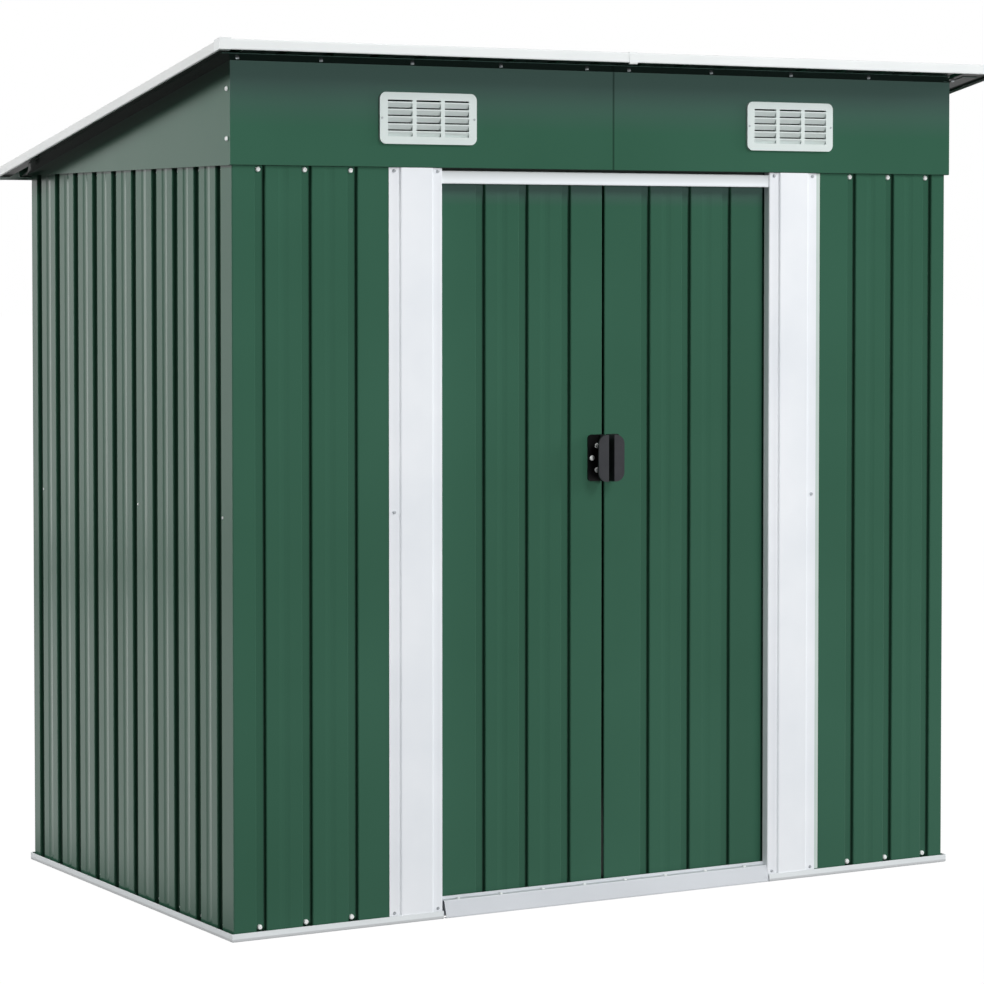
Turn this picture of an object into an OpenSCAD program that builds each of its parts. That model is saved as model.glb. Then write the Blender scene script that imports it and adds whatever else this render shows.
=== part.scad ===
// Pent-roofed garden shed of folded steel sheet with two sliding doors.
// Millimetres, +Z up, front towards -Y, origin on the ground at the middle of the roof's outline.

/* [Overall] */
// Width over the base rails
base_w = 1800; // [1500:10:2400]
// Depth over the base rails
base_d = 1070; // [900:10:1600]
// Height of the lower edge of the fascia and gables
eaves_h = 1566; // [1400:2:1900]
// Height of the fascia up to the roof's underside
fascia_h = 211; // [170:1:260]
// Height of the gables at their rear end
gable_rear_h = 3.5; // [2:0.5:40]

/* [Sheet] */
// Thickness of the folded sheet
sheet_t = 1; // [0.6:0.1:1.5]
// Outer radius of a fold
fold_r = 2.4; // [1.8:0.1:4]
// Distance between two grooves of the wall sheet
groove_pitch = 105; // [80:1:130]
// Width of a groove at the face of the sheet
groove_w = 23; // [18:1:30]
// Width of the flat bottom of a groove
groove_floor = 21; // [8:0.5:22]
// Depth of a groove
groove_depth = 9.5; // [6:0.5:11]
// Width of the shallow crease in the middle of a pan
crease_w = 25; // [12:1:40]
// Depth of the shallow crease
crease_depth = 1.2; // [0.5:0.1:2.5]
// Width by which two sheets lap
lap_w = 18; // [10:1:30]

/* [Base] */
// Height of the outer lip of the base rails
rail_lip = 17; // [12:1:30]
// Height of the inner upstand of the base rails
rail_upstand = 38; // [28:1:60]
// Distance of the wall's face behind the lip's face
wall_inset = 7.5; // [6.5:0.5:12]

/* [Walls] */
// Height by which the wall sheets reach up behind the fascia and gables
wall_lap = 22; // [10:1:40]
// First groove of the front left wall, from the shed's left side
front_left_groove = 70; // [50:1:110]
// First groove of the front right wall, from the doorway's middle
front_right_groove = 635; // [580:1:650]
// First groove of the side walls, from the shed's front
side_groove = 73; // [50:1:120]
// First groove of the rear walls, from the shed's left side
rear_groove = 73; // [50:1:120]
// Width of the folded return at the rear corners
corner_return = 24; // [15:1:30]
// Groove at which the two sheets of a side wall lap, counted from the front
side_lap_groove = 5; // [3:1:7]

/* [Doorway] */
// Clear width between the jambs
doorway_w = 822; // [700:2:1000]
// Width of a jamb's face
jamb_w = 126; // [100:1:160]
// Width of a jamb's flat flanges
jamb_flange = 24; // [14:1:30]
// Height of the jamb's raised middle
jamb_step = 5.2; // [3:0.1:6]
// Height of the threshold's ledge
threshold_h = 36; // [28:1:50]
// Run of the threshold's sloping front
threshold_run = 11; // [5:1:18]
// Gap between the threshold's left end and the jamb
threshold_gap = 6; // [0:0.5:15]
// Distance of the door tracks behind the front
track_inset = 26; // [24:1:40]
// Width of the door tracks
track_w = 33; // [33:1:44]
// Height of the bottom track's lips
track_lip = 42; // [38:1:60]
// Height by which the top track stands above the fascia's lower edge
track_rise = 6; // [2:0.5:15]
// Height of the white header below the fascia
header_h = 32; // [20:1:60]
// Distance of the header's face behind the front
header_inset = 10; // [8:0.5:16]
// Gap between the header and the fascia's lower edge
header_gap = 4.5; // [2:0.5:8]

/* [Doors] */
// Gap between the closed doors
seam_gap = 6; // [5:0.5:12]
// Width of a door
door_w = 435; // [420:1:520]
// Groove of the left door that is nearest to the seam
left_door_groove = 93; // [60:1:110]
// Groove of the right door that is nearest to the seam
right_door_groove = 108; // [60:1:140]
// Depth of the folded return at a door's edges
door_return = 14; // [12:1:15]
// Height of a door above the floor of the bottom track
door_foot = 11; // [8:0.5:14]
// Height of the top track above a door
door_head = 16; // [12:0.5:20]
// Height of the channels along a door's edges
runner_leg = 20; // [12:1:24]
// Distance of a slide from the end of its channel
slide_inset = 40; // [10:5:120]
// Running gap of the door's slides
slide_gap = 0.5; // [0.3:0.1:1]
// Length of a slide
slide_l = 60; // [30:5:120]

/* [Handles] */
// Height of a handle
handle_h = 100; // [80:1:140]
// Height of the handles' middle above the ground
handle_z = 951; // [800:1:1100]
// Distance of the grip's face from the door
handle_reach = 35; // [28:1:40]
// Width of the handle's foot on the door
handle_foot = 33; // [30:1:50]
// Width of the handle's grip
handle_grip = 25; // [18:1:30]
// Distance of a handle from the middle of the seam
handle_offset = 7; // [5:1:15]
// Thickness of the handle
handle_t = 4; // [3:0.5:6]
// Radius of the grip's round corners
handle_r = 20; // [8:1:24]
// Radius of the foot's round corners
foot_r = 8; // [3:1:14]

/* [Roof] */
// Reach of the roof beyond the base at each side
over_side = 70; // [40:1:120]
// Reach of the roof beyond the base at the front
over_front = 100; // [60:1:160]
// Reach of the roof beyond the base at the rear
over_rear = 40; // [30:1:80]
// Height of the roof sheet's ribs
rib_h = 13; // [8:0.5:18]
// Width of the trim on top of the roof's edges
trim_w = 26; // [18:1:40]
// Drop of the trim below the roof's underside
trim_drop = 6; // [4:0.5:12]
// Width of the trim's folded lower hem
trim_hem = 4; // [3:0.5:8]
// Place of the joint of the front trim, right of the middle
trim_joint = -9; // [-200:1:200]
// Width of the clip over that joint
clip_w = 20; // [10:1:40]
// Drop of the clip below the trim
clip_drop = 2; // [1:0.5:4]
// Length of the corner caps
cap_l = 26; // [15:1:40]
// Thickness of the corner caps
cap_t = 1.5; // [1:0.1:3]
// Width of the fascia's flange under the roof
front_flange = 50; // [20:1:56]
// Length by which that flange ends short of the fascia's right end
flange_short = 38; // [0:1:80]
// Width of the gables' flange under the roof
side_flange = 41; // [20:1:60]
// Length over which the gables' flange tapers off at the rear
flange_taper = 110; // [20:1:300]
// Height of the top rails
top_rail_h = 32; // [20:1:50]
// Width of the top rails
top_rail_w = 25; // [15:1:40]
// Depth of the beam under the roof
beam_h = 40; // [25:1:60]
// Width of the beam's flanges
beam_w = 25; // [15:1:40]

/* [Vents] */
// Width of a vent
vent_w = 228; // [150:1:260]
// Height of a vent
vent_h = 106; // [80:1:130]
// Height of the vents' middle above the fascia's lower edge
vent_up = 101; // [70:1:120]
// Place of the fascia's joint, right of the middle
fascia_joint = 3; // [-100:1:100]
// Distance of the left vent's middle from the fascia's left end
vent_left_place = 450; // [200:1:700]
// Distance of the right vent's middle from the fascia's joint
vent_right_place = 455; // [200:1:700]
// Radius of a vent's corners
vent_r = 14; // [6:1:25]
// Width of a vent's rim beside the louvres
vent_side = 18.5; // [8:0.5:24]
// Least width of a vent's rim above and below the louvres
vent_rim = 13; // [5:0.5:20]
// Width of the bars between the louvres
vent_bar = 9.5; // [3:0.5:14]
// Distance between two louvres
louvre_pitch = 15; // [12:0.5:20]
// Clear height between two louvres
louvre_gap = 3; // [2:0.5:6]
// Height of a louvre's upright front edge
louvre_edge = 2.5; // [1:0.5:4]
// Thickness of a louvre
louvre_t = 1.6; // [1:0.1:2.5]
// Tilt of the louvres in degrees, falling towards the inside
louvre_tilt = 52; // [45:1:75]
// Depth by which a vent stands out of the fascia
vent_proud = 6; // [4:0.5:10]

/* [Hidden] */

// Chords in the arc of a fold
fold_steps = 2;
// Turn in degrees up to which a fold stays sharp
sharp_turn = 15;
// Chords in the arc of a crease
crease_steps = 4;
// Clearance between pieces that lie close together without touching
fit = 0.3;
// Clearance between pieces that move past each other
moving = 5.5;
// Size that is larger than anything in the shed
beyond = 4000;

// Outer planes of the base and the roof
half_w = base_w / 2;
roof_w = base_w + 2 * over_side;
roof_d = base_d + over_front + over_rear;
front_y = over_front - roof_d / 2;
rear_y = front_y + base_d;
roof_x = roof_w / 2 - cap_t;
roof_front = -roof_d / 2 + cap_t;
roof_rear = roof_d / 2 - cap_t;
front_h = eaves_h + fascia_h;
roof_slope = atan((fascia_h - gable_rear_h) / base_d);
trim_top = rib_h + 2 * sheet_t + fit;
trim_rise = trim_top / cos(roof_slope);
flange_seat = sheet_t / cos(roof_slope) + fit;

// Depth of a lapped sheet behind the sheet that covers it
lapped = sheet_t + fit;
// Depths behind a face of the base, from the outside in
wall_back = wall_inset + groove_depth + sheet_t;
upstand_back = wall_back + sheet_t;
jamb_face = wall_inset - sheet_t - jamb_step;
track_back = track_inset + track_w;
runner_play = fold_r - sheet_t + fit;
runner_front = track_inset + sheet_t + moving;
door_face = runner_front + sheet_t + runner_play;
runner_back = door_face + door_return + runner_play + sheet_t;

// Heights of the doorway's pieces
header_low = eaves_h - header_h;
header_top = eaves_h - header_gap;
track_top = eaves_h + track_rise;
track_low = header_low + 2 * sheet_t;
wall_low = fold_r;
wall_top = eaves_h + wall_lap;
door_low = sheet_t + door_foot;
door_high = track_top - door_head;
top_rail_top = eaves_h - 4 * sheet_t;
vent_z = eaves_h + vent_up;

// Ends of pieces along the width
doorway_x = doorway_w / 2;
jamb_x = doorway_x + jamb_w;
front_wall_end = jamb_x - jamb_flange + 3 * sheet_t;
door_seam = seam_gap / 2;
vent_left_x = vent_left_place - half_w;
vent_right_x = fascia_joint + vent_right_place;

// Width of the front walls' corner that wraps round to the first groove of the side
corner_wrap = side_groove - groove_w / 2 - wall_inset - fit;

function under_roof(y) = front_h - (y - front_y) * tan(roof_slope);
function unit(v) = v / norm(v);
function left_of(v) = [-v[1], v[0]];
function flat(lists) = [for (list = lists) each list];

// Point at an angle on a circle
function on_circle(centre, r, angle) = centre + r * [cos(angle), sin(angle)];

// Arc of radius r that takes the place of the corner b between a and c, or b itself where the turn is slight
function corner_arc(a, b, c, r) =
    let (u = unit(a - b), w = unit(c - b), half = acos(max(-1, min(1, u * w))) / 2, bend = 180 - 2 * half)
    bend < sharp_turn ? [b] :
    let (
        centre = b + unit(u + w) * r / sin(half),
        first = b + u * r / tan(half) - centre,
        turn = u[0] * w[1] - u[1] * w[0] > 0 ? -bend : bend,
        start = atan2(first[1], first[0])
    )
    [for (i = [0:fold_steps]) on_circle(centre, r, start + turn * i / fold_steps)];

// Path whose inner corners are folded with radius r
function folded(path, r = fold_r) =
    let (
        last = len(path) - 1,
        arcs = [for (i = [1:1:last - 1]) corner_arc(path[i - 1], path[i], path[i + 1], r)]
    )
    concat([path[0]], flat(arcs), [path[last]]);

// Path moved sideways by t, to the left of its run
function beside(path, t) =
    let (last = len(path) - 1)
    [
        for (i = [0:last])
            let (
                before = left_of(unit(path[max(i, 1)] - path[max(i, 1) - 1])),
                after = left_of(unit(path[min(i, last - 1) + 1] - path[min(i, last - 1)]))
            )
            path[i] + t * (before + after) / (1 + before * after)
    ];

// Outline of a sheet that follows a path, t thick to the left of its run
function outline(path, t) =
    let (other = beside(path, t), last = len(path) - 1)
    concat(path, [for (i = [last:-1:0]) other[i]]);

// Depth profile of one groove about the place c, whose near side starts at the depth near
function groove(c, depth, near) = [
    [c - groove_w / 2, near], [c - groove_floor / 2, depth],
    [c + groove_floor / 2, depth], [c + groove_w / 2, 0]
];

// Depth profile of the shallow crease about the place c
function crease(c) = [
    for (i = [0:crease_steps])
        [c + crease_w * (i / crease_steps - 0.5), crease_depth * sin(180 * i / crease_steps)]
];

// Profile of a grooved sheet from 0 to w, with a groove every pitch from the first place on and a crease in
// each pan between them. The grooves stay clear of the far edge, and the first one starts at the depth near
function grooved(w, first, depth, head, tail, clear = groove_w, near = 0) =
    let (count = floor((w - clear - groove_w / 2 - first) / groove_pitch))
    concat(
        head,
        flat([
            for (i = [0:count])
                let (c = first + i * groove_pitch)
                concat(groove(c, depth, i == 0 ? near : 0), i < count ? crease(c + groove_pitch / 2) : [])
        ]),
        tail
    );

// Ends of a grooved sheet: plain, folded back by a return, or set behind its neighbour
function plain_start() = [[0, 0]];
function plain_end(w) = [[w, 0]];
function return_start(depth) = [[0, depth], [0, 0]];
function return_end(w, depth) = [[w, 0], [w, depth]];
function lapped_start() = [[0, lapped]];

module sheet(path, t = sheet_t) {
    polygon(outline(folded(path), t));
}

module along_x(x0, x1) {
    translate([x0, 0, 0]) rotate([90, 0, 90]) linear_extrude(x1 - x0) children();
}

module along_y(y0, y1) {
    translate([0, y1, 0]) rotate([90, 0, 0]) linear_extrude(y1 - y0) children();
}

// Frames whose first axis runs inwards from one face of the base
module from_front() {
    translate([0, front_y, 0]) children();
}

module from_rear() {
    translate([0, rear_y, 0]) mirror([0, 1, 0]) children();
}

module from_left() {
    translate([-half_w, 0, 0]) children();
}

// Frame on the roof's underside: y down the slope, z square to the sheet
module on_roof() {
    translate([0, front_y, front_h]) rotate([-roof_slope, 0, 0]) children();
}

module below_roof(gap) {
    intersection() {
        children();
        along_x(-beyond, beyond)
            polygon([[-beyond, -1], [beyond, -1], [beyond, under_roof(beyond) - gap],
                [-beyond, under_roof(-beyond) - gap]]);
    }
}

module between_y(y0, y1) {
    intersection() {
        children();
        translate([-beyond, y0, -beyond]) cube([2 * beyond, y1 - y0, 2 * beyond]);
    }
}

// Base

module rail_profile() {
    sheet([[0, rail_lip], [0, 0], [upstand_back, 0], [upstand_back, rail_upstand]]);
}

// Plan of a rail along x whose ends are mitred towards the inside
module mitred(x0, x1, mitre0, mitre1) {
    intersection() {
        children();
        linear_extrude(beyond)
            polygon([[x0, 0], [x1, 0], [x1 - mitre1, upstand_back], [x0 + mitre0, upstand_back]]);
    }
}

module front_rail(x0, x1, mitre0, mitre1) {
    color("gainsboro") from_front() mitred(x0, x1, mitre0, mitre1) along_x(x0, x1) rail_profile();
}

module side_rail() {
    color("gainsboro")
        translate([-half_w, 0, 0])
            mirror([1, -1, 0])
                mitred(front_y, rear_y, upstand_back, upstand_back)
                    along_x(front_y, rear_y) rail_profile();
}

module base_rail_front_left() {
    front_rail(-half_w, -doorway_x - sheet_t, upstand_back, 0);
}

module base_rail_front_right() {
    front_rail(doorway_x + sheet_t, half_w, 0, upstand_back);
}

module base_rail_left() {
    side_rail();
}

module base_rail_right() {
    mirror([1, 0, 0]) side_rail();
}

module base_rail_rear() {
    color("gainsboro")
        from_rear()
            mitred(-half_w, half_w, upstand_back, upstand_back) along_x(-half_w, half_w) rail_profile();
}

// Doorway

module door_threshold() {
    color("silver")
        from_front()
            along_x(threshold_gap - doorway_x, doorway_x)
                sheet(
                    [[threshold_run, 0], [0, 0], [threshold_run, threshold_h], [track_inset, threshold_h]],
                    -sheet_t
                );
}

module door_bottom_track() {
    reach = half_w - upstand_back;
    color("silver")
        from_front()
            along_x(-reach, reach)
                sheet([[track_inset, track_lip], [track_inset, 0], [track_back, 0], [track_back, track_lip]]);
}

module door_top_track() {
    reach = half_w - wall_back;
    color("whitesmoke")
        from_front()
            along_x(-reach, reach)
                sheet(
                    [[track_inset, track_low], [track_inset, track_top], [track_back, track_top],
                        [track_back, track_low]],
                    -sheet_t
                );
}

module door_header() {
    hem = 4 * sheet_t;
    color("whitesmoke")
        from_front()
            along_x(-doorway_x, doorway_x)
                sheet(
                    [[header_inset + hem, header_low], [header_inset, header_low], [header_inset, header_top],
                        [track_inset, header_top]],
                    -sheet_t
                );
}

// Hat profile of a jamb, from its outer flange to the return that lines the doorway
module jamb() {
    flange_face = wall_inset - sheet_t;
    step_in = jamb_flange + 2 * sheet_t;
    color("whitesmoke")
        from_front()
            translate([0, 0, wall_low])
                linear_extrude(eaves_h - wall_low)
                    sheet([
                        [-jamb_x, flange_face], [jamb_flange - jamb_x, flange_face],
                        [step_in - jamb_x, jamb_face], [-doorway_x - step_in, jamb_face],
                        [-doorway_x - jamb_flange, flange_face], [-doorway_x, flange_face],
                        [-doorway_x, track_inset]
                    ]);
}

module door_jamb_left() {
    jamb();
}

module door_jamb_right() {
    mirror([1, 0, 0]) jamb();
}

// Walls

module wall(path) {
    translate([0, 0, wall_low]) linear_extrude(wall_top - wall_low) sheet(path);
}

module front_wall_left() {
    w = half_w - wall_inset - front_wall_end;
    color("darkgreen")
        translate([wall_inset - half_w, front_y + wall_inset, 0])
            wall(grooved(w, front_left_groove - wall_inset, groove_depth, return_start(corner_wrap),
                plain_end(w)));
}

module front_wall_right() {
    w = half_w - wall_inset - front_wall_end;
    color("darkgreen")
        translate([front_wall_end, front_y + wall_inset, 0])
            wall(grooved(w, front_right_groove - front_wall_end, groove_depth, plain_start(),
                return_end(w, corner_wrap)));
}

// Side wall sheet that laps behind its neighbour at the first of its grooves and runs to the place y1
module side_wall(first, y1, clear) {
    y0 = first - groove_w / 2 - lap_w;
    w = y1 - y0;
    color("darkgreen")
        below_roof(2 * sheet_t)
            translate([wall_inset - half_w, front_y + y0, 0])
                mirror([1, -1, 0])
                    wall(grooved(w, first - y0, groove_depth, lapped_start(), plain_end(w), clear, lapped));
}

function side_lap() = side_groove + (side_lap_groove - 1) * groove_pitch;

module left_wall_front() {
    side_wall(side_groove, side_lap() - groove_w / 2 - fit, groove_w);
}

module left_wall_rear() {
    side_wall(side_lap(), base_d - wall_inset, corner_return + 2 * fold_r);
}

module right_wall_front() {
    mirror([1, 0, 0]) left_wall_front();
}

module right_wall_rear() {
    mirror([1, 0, 0]) left_wall_rear();
}

// Groove at which sheet number i of three starts on a width, where the grooves start at the place first
function lap_groove(i, width, first) = first + round((i * width / 3 - first) / groove_pitch) * groove_pitch;

// Rear wall sheet number i of three, from the left
module rear_wall(i) {
    edge = wall_inset + lapped;
    lap = lap_groove(i, base_w, rear_groove);
    x0 = i == 0 ? edge : lap - groove_w / 2 - lap_w;
    x1 = i == 2 ? base_w - edge : lap_groove(i + 1, base_w, rear_groove) - groove_w / 2 - fit;
    first = i == 0 ? rear_groove : lap;
    head = i == 0 ? return_start(corner_return) : lapped_start();
    tail = i == 2 ? return_end(x1 - x0, corner_return) : plain_end(x1 - x0);
    color("darkgreen")
        below_roof(2 * sheet_t)
            translate([x0 - half_w, rear_y - wall_inset, 0])
                mirror([0, 1, 0])
                    wall(grooved(x1 - x0, first - x0, groove_depth, head, tail, near = i == 0 ? 0 : lapped));
}

module rear_wall_left() {
    rear_wall(0);
}

module rear_wall_middle() {
    rear_wall(1);
}

module rear_wall_right() {
    rear_wall(2);
}

// Top frame

module side_top_rail() {
    y0 = front_y + track_back;
    y1 = rear_y - upstand_back;
    color("silver")
        from_left()
            along_y(y0, y1)
                sheet(
                    [[wall_back, top_rail_top - top_rail_h], [wall_back, top_rail_top],
                        [wall_back + top_rail_w, top_rail_top]],
                    -sheet_t
                );
}

module top_rail_left() {
    side_top_rail();
}

module top_rail_right() {
    mirror([1, 0, 0]) side_top_rail();
}

module top_rail_rear() {
    reach = half_w - wall_back;
    seat = wall_back + top_rail_w;
    color("silver")
        from_rear()
            along_x(-reach, reach)
                sheet(
                    [[wall_back, top_rail_top - top_rail_h],
                        [wall_back, under_roof(rear_y - wall_back) - fit],
                        [seat, under_roof(rear_y - seat) - fit]],
                    -sheet_t
                );
}

module fascia_profile() {
    sheet(
        [[wall_inset, eaves_h], [0, eaves_h], [0, under_roof(front_y) - flange_seat],
            [-front_flange, under_roof(front_y - front_flange) - flange_seat]],
        -sheet_t
    );
}

// Half of the fascia between two places, with the cut-out behind its vent
module fascia(x0, x1, vent_x) {
    vent_hole_w = louvred_w() + 2 * sheet_t;
    vent_hole_h = louvred_h() + 2 * sheet_t;
    from_front()
        difference() {
            along_x(x0, x1) fascia_profile();
            translate([vent_x - vent_hole_w / 2, -sheet_t, vent_z - vent_hole_h / 2])
                cube([vent_hole_w, wall_inset, vent_hole_h]);
        }
}

// Tab of the fascia that is screwed to the gable
module fascia_tab() {
    low = eaves_h + 2 * sheet_t;
    translate([sheet_t - half_w, front_y + sheet_t / 2, low])
        cube([sheet_t, corner_return, under_roof(front_y + corner_return) - 4 * sheet_t - low]);
}

// Slanting end of the flange, cut off short of the fascia's end
module flange_end() {
    linear_extrude(beyond)
        polygon([[half_w - flange_short / 2, front_y - fold_r], [half_w + 1, front_y - fold_r],
            [half_w + 1, front_y - front_flange - 1], [half_w - flange_short, front_y - front_flange - 1]]);
}

module fascia_left() {
    color("darkgreen") {
        fascia(-half_w, fascia_joint, vent_left_x);
        fascia_tab();
    }
}

module fascia_right() {
    color("darkgreen") {
        difference() {
            fascia(fascia_joint, half_w, vent_right_x);
            flange_end();
        }
        mirror([1, 0, 0]) fascia_tab();
    }
}

// Plan of a gable's flange, which reaches forward past the fascia and tapers off at the rear
module side_flange_plan() {
    outer = -half_w - side_flange;
    inner = sheet_t - half_w;
    polygon([
        [outer, front_y - front_flange], [-half_w - fit, front_y - front_flange],
        [-half_w - fit, front_y + sheet_t], [inner, front_y + sheet_t], [inner, rear_y], [-half_w, rear_y],
        [outer, rear_y - flange_taper]
    ]);
}

// Side view of a layer under the roof between two places along the depth
module roof_layer(y0, y1, top, low) {
    polygon([[y0, under_roof(y0) - low], [y1, under_roof(y1) - low], [y1, under_roof(y1) - top],
        [y0, under_roof(y0) - top]]);
}

module gable() {
    y0 = front_y + sheet_t;
    color("darkgreen") {
        along_x(-half_w, sheet_t - half_w)
            polygon([[y0, eaves_h], [rear_y, eaves_h], [rear_y, under_roof(rear_y) - fit],
                [y0, under_roof(y0) - fit]]);
        along_x(-half_w, wall_inset - half_w)
            polygon([[y0 + wall_inset, eaves_h], [rear_y, eaves_h], [rear_y, eaves_h + sheet_t],
                [y0 + wall_inset, eaves_h + sheet_t]]);
        intersection() {
            along_x(-beyond, beyond) roof_layer(front_y - front_flange, rear_y, fit, flange_seat);
            linear_extrude(beyond) side_flange_plan();
        }
    }
}

module gable_left() {
    gable();
}

module gable_right() {
    mirror([1, 0, 0]) gable();
}

// Vents

function louvre_rows() = floor((vent_h - 2 * vent_rim) / louvre_pitch);
function louvred_h() = louvre_rows() * louvre_pitch;
function louvred_w() = vent_w - 2 * vent_side;

module rounded_plate(w, h, r) {
    square([w - 2 * r, h], center = true);
    square([w, h - 2 * r], center = true);
    for (x = [-1, 1])
        for (y = [-1, 1])
            translate([x * (w / 2 - r), y * (h / 2 - r)]) circle(r, $fn = 32);
}

// Section of a louvre from its upper front edge, y inwards
module louvre_profile() {
    h = louvre_pitch - louvre_gap;
    run = (h - louvre_edge) / tan(louvre_tilt);
    t = louvre_t / sin(louvre_tilt);
    polygon([[0, 0], [0, -louvre_edge], [run, -h], [run + t, -h], [t, -louvre_edge], [t, 0]]);
}

module vent(x) {
    column = (louvred_w() - 2 * vent_bar) / 3;
    reach = (louvred_w() + sheet_t) / 2;
    color("white")
        translate([x, front_y, vent_z]) {
            rotate([90, 0, 0])
                linear_extrude(vent_proud)
                    difference() {
                        rounded_plate(vent_w, vent_h, vent_r);
                        for (i = [-1, 0, 1])
                            translate([i * (column + vent_bar), 0])
                                square([column, louvred_h()], center = true);
                    }
            for (i = [1:louvre_rows()])
                translate([0, -vent_proud, i * louvre_pitch - louvre_gap - louvred_h() / 2 - sheet_t / 2])
                    along_x(-reach, reach) louvre_profile();
        }
}

module vent_left() {
    vent(vent_left_x);
}

module vent_right() {
    vent(vent_right_x);
}

// Roof

module roof_beam() {
    reach = half_w - sheet_t;
    color("silver")
        on_roof()
            translate([0, base_d / 2, 0])
                along_x(-reach, reach) sheet([[beam_w, 0], [0, 0], [0, -beam_h], [beam_w, -beam_h]]);
}

// Roof sheet number i of three, from the left, with its ribs upwards
module roof_panel(i) {
    edge = sheet_t + fit;
    width = 2 * roof_x;
    margin = groove_pitch / 2;
    lap = lap_groove(i, width, margin);
    x0 = i == 0 ? edge : lap - groove_w / 2 - lap_w;
    x1 = i == 2 ? width - edge : lap_groove(i + 1, width, margin) - groove_w / 2 - fit;
    first = i == 0 ? margin : lap;
    head = i == 0 ? plain_start() : lapped_start();
    path = grooved(x1 - x0, first - x0, rib_h, head, plain_end(x1 - x0), near = i == 0 ? 0 : lapped);
    color("darkgreen")
        between_y(roof_front + fold_r + fit, roof_rear - fold_r - fit)
            on_roof()
                translate([x0 - roof_x, 0, 0]) along_y(-roof_d, 2 * roof_d) sheet(path);
}

module roof_panel_left() {
    roof_panel(0);
}

module roof_panel_middle() {
    roof_panel(1);
}

module roof_panel_right() {
    roof_panel(2);
}

// Path of the trim along the roof's front edge, its hem lowered by drop
function front_trim_path(drop) =
    let (low = under_roof(roof_front) - trim_drop - drop)
    [
        [roof_front + trim_hem, low], [roof_front, low], [roof_front, under_roof(roof_front) + trim_rise],
        [roof_front + trim_w, under_roof(roof_front + trim_w) + trim_rise]
    ];

// Layer of that trim between two depths outside its face
module front_trim(x0, x1, near = -sheet_t, far = 0, drop = 0) {
    along_x(x0, x1) polygon(outline(beside(folded(front_trim_path(drop)), near), far - near));
}

module roof_trim_front_left() {
    color("white") front_trim(-roof_x, trim_joint);
}

// Right half of the front trim, with the clip that covers the joint and its seat on the trim
module roof_trim_front_right() {
    x0 = trim_joint - clip_w / 2;
    x1 = trim_joint + clip_w / 2;
    color("white") {
        front_trim(trim_joint, roof_x);
        front_trim(x0, x1, fit, lapped, clip_drop);
        front_trim(trim_joint + fit, x1, -sheet_t / 2, lapped - sheet_t / 2);
    }
}

module roof_trim_rear() {
    low = under_roof(roof_rear) - trim_drop;
    color("white")
        along_x(-roof_x, roof_x)
            sheet([
                [roof_rear - trim_hem, low], [roof_rear, low], [roof_rear, under_roof(roof_rear) + trim_rise],
                [roof_rear - trim_w, under_roof(roof_rear - trim_w) + trim_rise]
            ]);
}

// Space above the roof's ribs between two places along the depth
module above_ribs(y0, y1) {
    rise = (trim_top - sheet_t) / cos(roof_slope);
    along_x(-beyond, beyond)
        polygon([[y0, under_roof(y0) + rise], [y1, under_roof(y1) + rise], [y1, beyond], [y0, beyond]]);
}

// Side trim whose top is cut back where the front and rear trims lie
module side_trim() {
    color("white")
        difference() {
            between_y(roof_front + trim_hem + fit, roof_rear - trim_hem - fit)
                on_roof()
                    along_y(-roof_d, 2 * roof_d)
                        sheet(
                            [[trim_hem - roof_x, -trim_drop], [-roof_x, -trim_drop], [-roof_x, trim_top],
                                [trim_w - roof_x, trim_top]],
                            -sheet_t
                        );
            above_ribs(-beyond, roof_front + trim_w + fit);
            above_ribs(roof_rear - trim_w - fit, beyond);
        }
}

module roof_trim_left() {
    side_trim();
}

module roof_trim_right() {
    mirror([1, 0, 0]) side_trim();
}

// Side view of a corner cap: a box whose top follows the roof
module cap_side(y0, y1, grow) {
    rise = trim_rise + grow;
    polygon([[y0, under_roof(y0) - trim_drop], [y1, under_roof(y1) - trim_drop],
        [y1, under_roof(y1) + rise], [y0, under_roof(y0) + rise]]);
}

module corner_cap(y0, y1, inner0, inner1) {
    difference() {
        along_x(-roof_w / 2, cap_l - roof_w / 2) cap_side(y0, y1, cap_t);
        along_x(-roof_x, beyond) cap_side(inner0, inner1, 0);
    }
}

module roof_corner_caps() {
    color("white")
        for (side = [0, 1])
            mirror([side, 0, 0]) {
                corner_cap(-roof_d / 2, cap_l - roof_d / 2, roof_front, beyond);
                corner_cap(roof_d / 2 - cap_l, roof_d / 2, -beyond, roof_rear);
            }
}

// Doors

// Grooves of a door, from its outer edge to the seam
function door_first(nearest) =
    let (span = door_w - nearest - 2.5 * groove_w)
    door_w - nearest - floor(span / groove_pitch) * groove_pitch;

module door_panel(first) {
    w = door_w - door_seam;
    color("darkgreen")
        translate([-door_w, front_y + door_face, door_low])
            linear_extrude(door_high - door_low)
                sheet(grooved(w, first, groove_depth, return_start(door_return), return_end(w, door_return)));
}

// Channel around the lower or upper edge of a door, with the two slides that run in a track
module runner(edge, up, slide_end) {
    foot = edge - up * sheet_t;
    from_front() {
        along_x(-door_w - sheet_t, -door_seam)
            sheet(
                [[runner_front, edge + up * runner_leg], [runner_front, foot], [runner_back, foot],
                    [runner_back, edge + up * runner_leg]],
                up * sheet_t
            );
        for (x = [slide_inset - door_w, -door_seam - slide_inset - slide_l])
            translate([x, track_inset + fold_r + slide_gap, min(foot, slide_end)])
                cube([slide_l, track_w - 2 * (fold_r + slide_gap), abs(foot - slide_end)]);
    }
}

module door_runners() {
    color("silver") {
        runner(door_low, 1, sheet_t + slide_gap);
        runner(door_high, -1, track_top - sheet_t - slide_gap);
    }
}

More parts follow.
